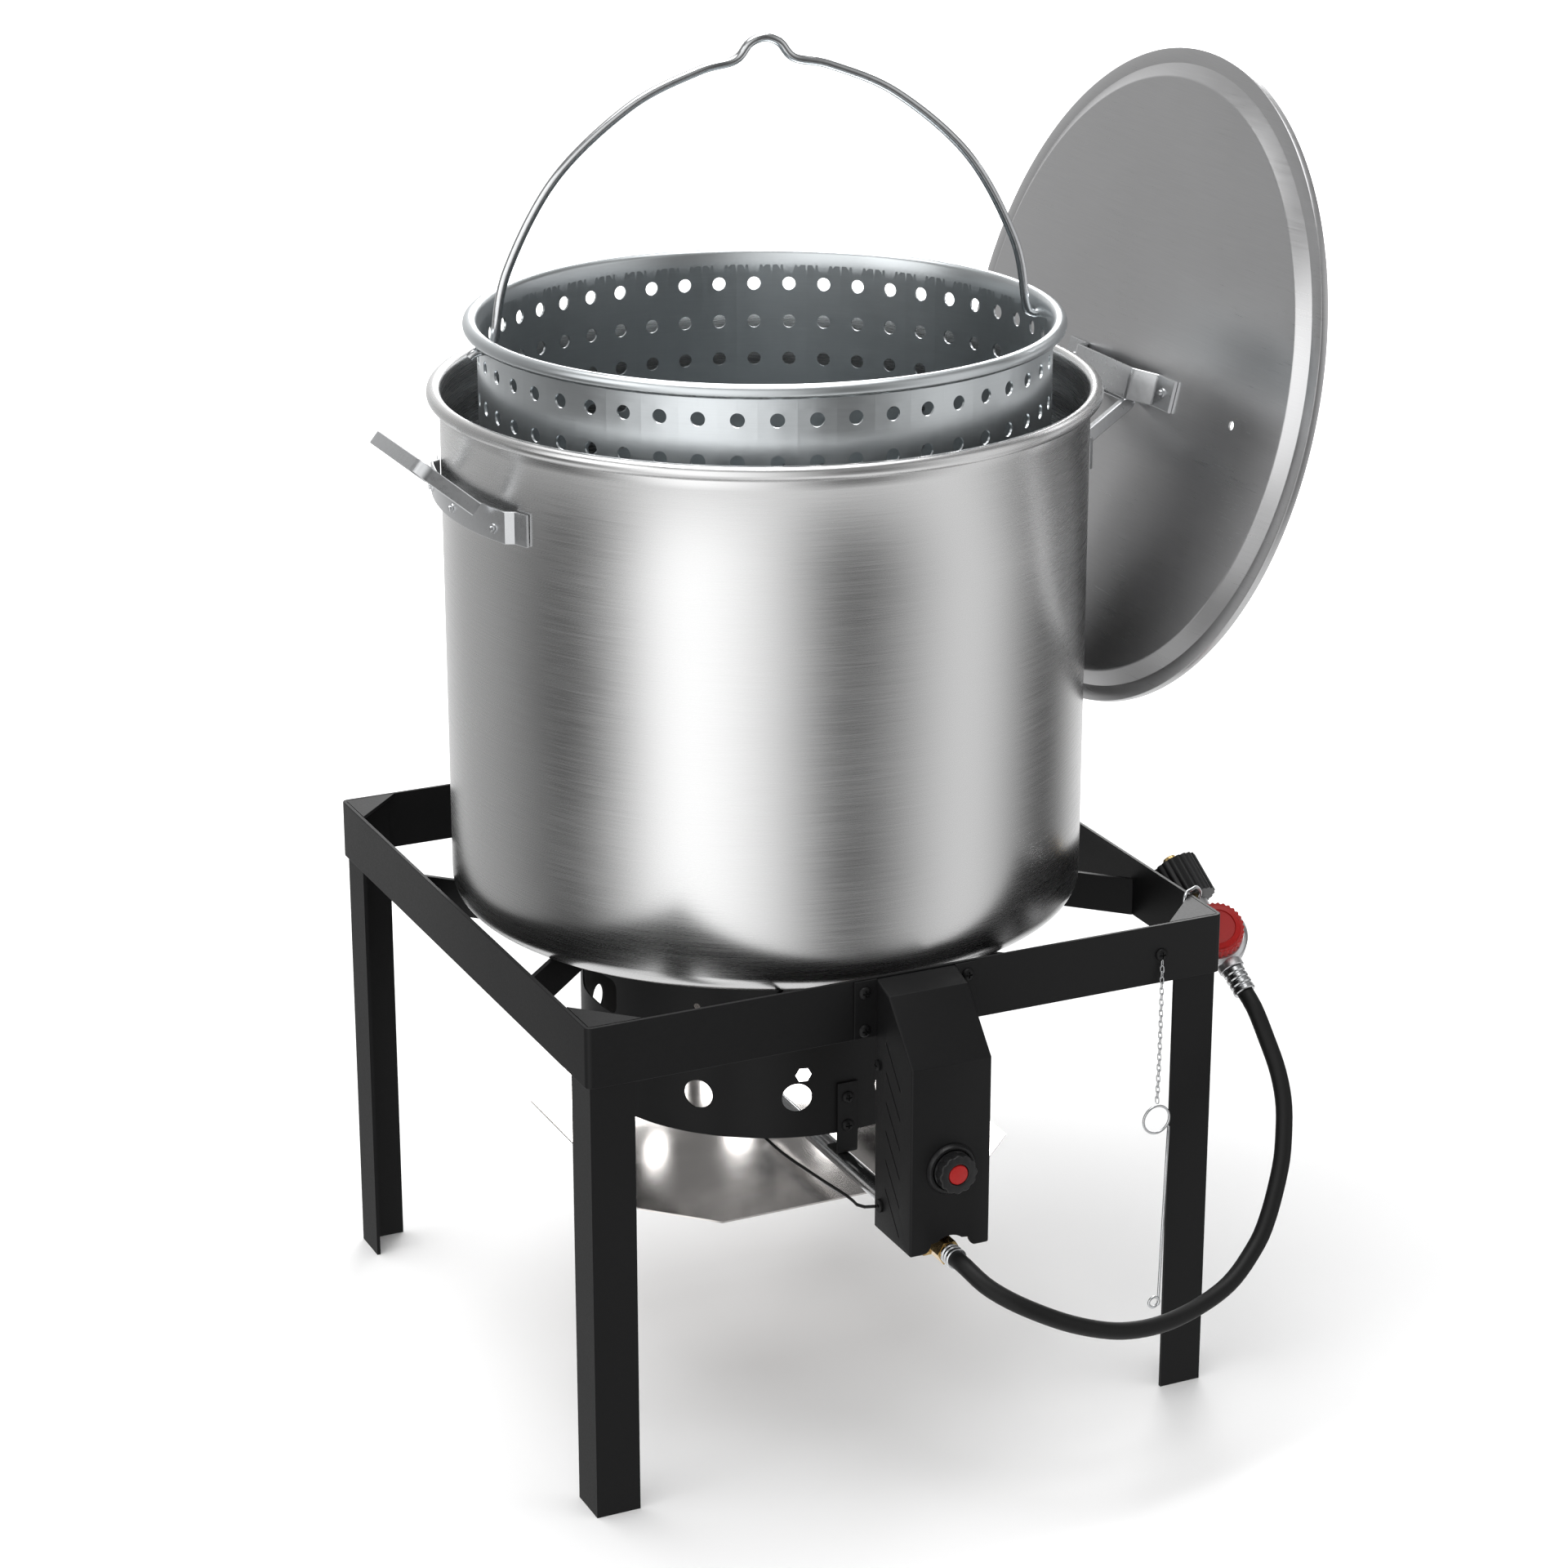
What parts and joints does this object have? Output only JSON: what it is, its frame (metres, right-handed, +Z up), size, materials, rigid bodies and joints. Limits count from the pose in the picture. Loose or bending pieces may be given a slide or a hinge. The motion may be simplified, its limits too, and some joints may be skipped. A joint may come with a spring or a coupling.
{
  "type": "turkey fryer kit",
  "caption": "Outdoor fryer: square black stand with a gas burner, a tall lidded aluminium stock pot, a perforated lift-out basket with a bail, and a regulator on a hose.",
  "frame": {"origin": "middle of the footprint at floor level, measured without the hose and what is on it", "axes": "+Z up, -Y is the front with the control box, +X is the side that the lid leans on"},
  "size_m": [0.5986, 0.5742, 0.9115],
  "materials": {
    "black_coat": "semi-gloss black powder coat",
    "cast_iron": "rough black casting",
    "mirror_steel": "polished sheet",
    "aluminium": "satin, brushed round the pot",
    "plated_steel": "bright zinc plating",
    "brass": "turned brass",
    "cast_grey": "die-cast zinc grey",
    "black_plastic": "black moulded plastic",
    "red_plastic": "red moulded plastic",
    "rubber": "black rubber",
    "ceramic": "white glazed insulator"
  },
  "bodies": {
    "stand": {"front_rail": "black_coat", "right_rail": "black_coat", "rear_rail": "black_coat", "left_rail": "black_coat", "gusset_rear_right": "black_coat", "gusset_rear_left": "black_coat", "gusset_front_left": "black_coat", "gusset_front_right": "black_coat", "leg_rear_right": "black_coat", "leg_rear_left": "black_coat", "leg_front_left": "black_coat", "leg_front_right": "black_coat", "support_bar_rear_right": "black_coat", "support_bar_rear_left": "black_coat", "support_bar_front_left": "black_coat", "support_bar_front_right": "black_coat", "burner_shroud": "black_coat", "burner_crossbar": "black_coat", "tube_bracket": "black_coat", "bracket_screw_upper": "black_coat", "bracket_screw_lower": "black_coat", "control_box": "black_coat", "chain_screw": "black_coat", "burner_head": "cast_iron", "gas_tube": "plated_steel", "heat_shield": "mirror_steel", "shield_hanger_right": "mirror_steel", "shield_hanger_rear": "mirror_steel", "shield_hanger_left": "mirror_steel", "knob_bezel": "black_plastic", "gas_valve": "brass", "inlet_fitting": "brass", "orifice_spud": "brass", "coupling_nipple": "brass", "wire_grommet": "rubber", "igniter_wire": "rubber", "gas_hose": "rubber", "igniter_electrode": "ceramic", "hose_ferrule_lower": "plated_steel", "hose_ferrule_upper": "plated_steel", "regulator_hanger": "plated_steel", "regulator_body": "cast_grey"},
    "knob": {"gas_knob": "black_plastic", "valve_stem": "brass"},
    "button": {"igniter_button": "red_plastic"},
    "dial": {"regulator_dial": "red_plastic"},
    "nut": {"coupling_nut": "black_plastic"},
    "chain": {"lighting_chain": "plated_steel"},
    "ring": {"lighting_ring": "plated_steel"},
    "stick": {"lighting_rod": "plated_steel"},
    "pot": {"pot_shell": "aluminium", "handle_bracket_left": "aluminium", "handle_bracket_right": "aluminium", "pot_handle_left": "aluminium", "pot_handle_right": "aluminium"},
    "cover": {"lid": "aluminium", "lid_handle": "aluminium"},
    "basket_body": {"basket": "aluminium"},
    "bail_body": {"bail": "plated_steel"}
  },
  "joints": [
    {"name": "pot_lift", "type": "slide", "parent": "stand", "child": "pot", "axis": [0, 0, 1], "range_m": [0, 0.15]},
    {"name": "basket_lift", "type": "slide", "parent": "pot", "child": "basket_body", "axis": [0, 0, 1], "range_m": [0, 0.3]},
    {"name": "bail_swing", "type": "hinge", "parent": "basket_body", "child": "bail_body", "pos_m": [-0.0353, 0.0322, 0.715], "axis": [0.9877, -0.1564, 0], "range_deg": [-78, 78]},
    {"name": "lid_lift", "type": "slide", "parent": "pot", "child": "cover", "axis": [0.2334, 0, 0.9724], "range_m": [0, 0.08]},
    {"name": "knob_turn", "type": "hinge", "parent": "stand", "child": "knob", "pos_m": [-0.0353, -0.2492, 0.2288], "axis": [0, -1, 0], "range_deg": [0, 180]},
    {"name": "button_press", "type": "slide", "parent": "knob", "child": "button", "axis": [0, 1, 0], "range_m": [0, 0.004], "stiffness_N_per_m": 600},
    {"name": "dial_turn", "type": "hinge", "parent": "stand", "child": "dial", "pos_m": [0.2217, -0.1406, 0.3036], "axis": [-0.3003, -0.6406, 0.7067], "range_deg": [0, 300]},
    {"name": "nut_turn", "type": "hinge", "parent": "stand", "child": "nut", "pos_m": [0.2217, -0.1406, 0.3036], "axis": [-0.1248, 0.7589, 0.6391], "continuous": true},
    {"name": "chain_swing", "type": "hinge", "parent": "stand", "child": "chain", "pos_m": [0.147, -0.1963, 0.3254], "axis": [0, 1, 0], "range_deg": [-28, 28]},
    {"name": "ring_swing", "type": "hinge", "parent": "chain", "child": "ring", "pos_m": [0.1406, -0.2078, 0.2225], "axis": [0, 1, 0], "range_deg": [-15, 15]},
    {"name": "stick_swing", "type": "hinge", "parent": "ring", "child": "stick", "pos_m": [0.1502, -0.2078, 0.206], "axis": [-1, 0, 0], "range_deg": [0, 15]}
  ]
}
